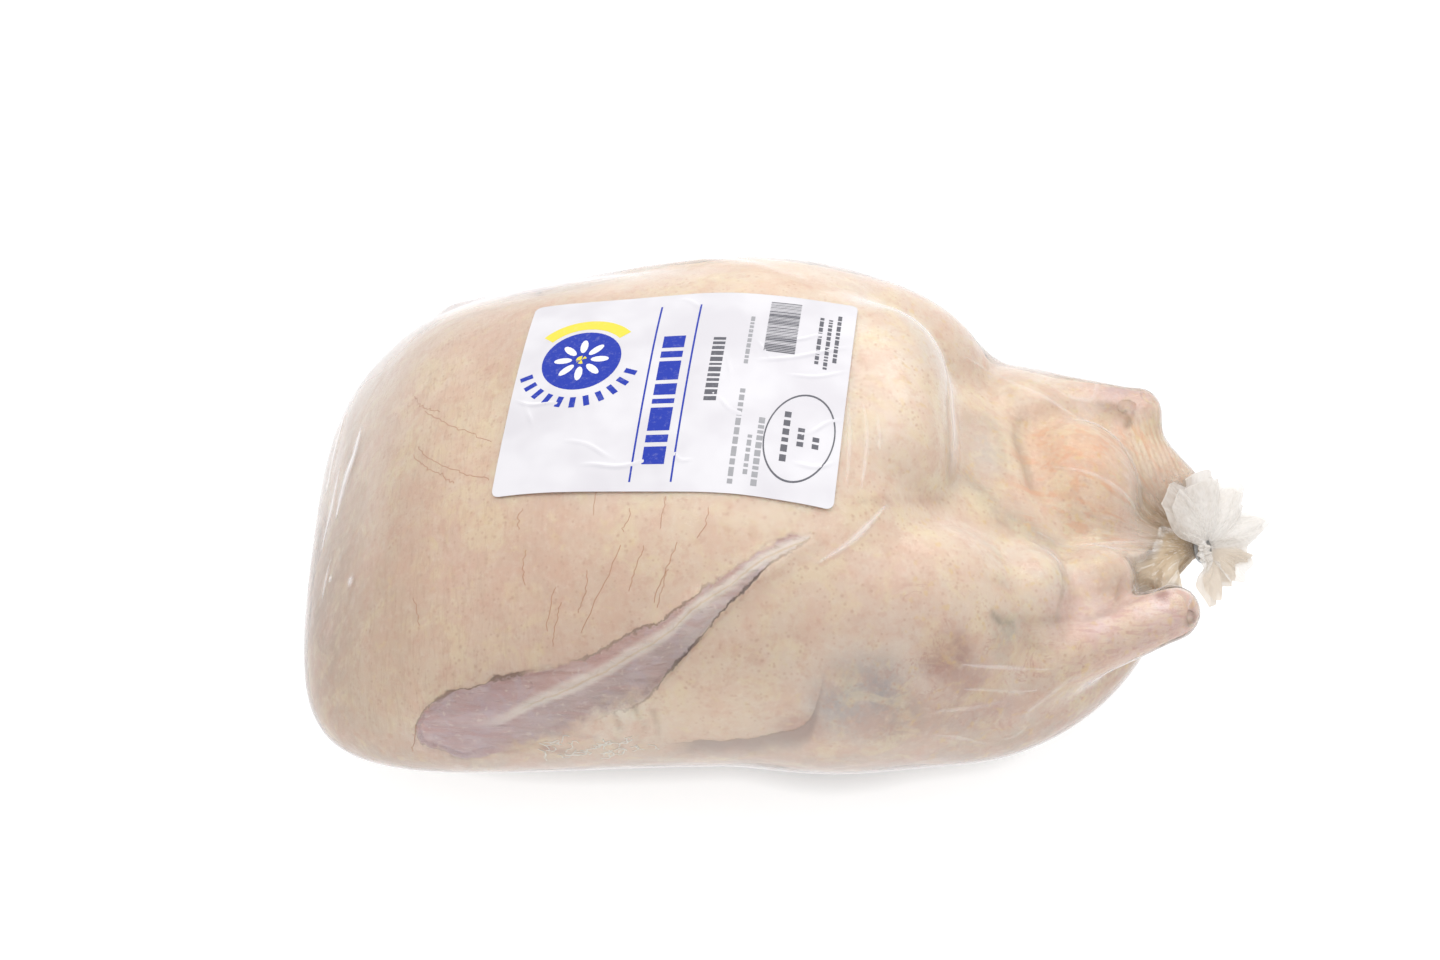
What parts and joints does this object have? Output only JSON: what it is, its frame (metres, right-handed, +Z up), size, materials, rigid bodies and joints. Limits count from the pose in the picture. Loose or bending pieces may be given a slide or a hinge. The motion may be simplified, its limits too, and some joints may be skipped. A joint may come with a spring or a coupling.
{
  "type": "whole duck",
  "caption": "Whole raw duck, breast up, in a clear shrink bag gathered through a wire clip into a ruffle, with a paper label on the breast",
  "frame": {"origin": "the middle of the box round the whole part in X and Y, at the height of the flat spot it rests on", "axes": "+X from the neck end to the clip and ruffle, +Y to the bird's far side, +Z up from the back to the breast"},
  "size_m": [0.3806, 0.2138, 0.1493],
  "materials": {
    "skin_under_film": "pale cream to pink skin under clear glossy film, milky where the film gathers",
    "label_paper": "white coated paper with a plain blue, yellow and grey print, lightly creased",
    "clip_wire": "dull grey wire"
  },
  "bodies": {
    "root": {"bagged_duck": "skin_under_film", "label": "label_paper", "clip": "clip_wire"}
  },
  "joints": []
}
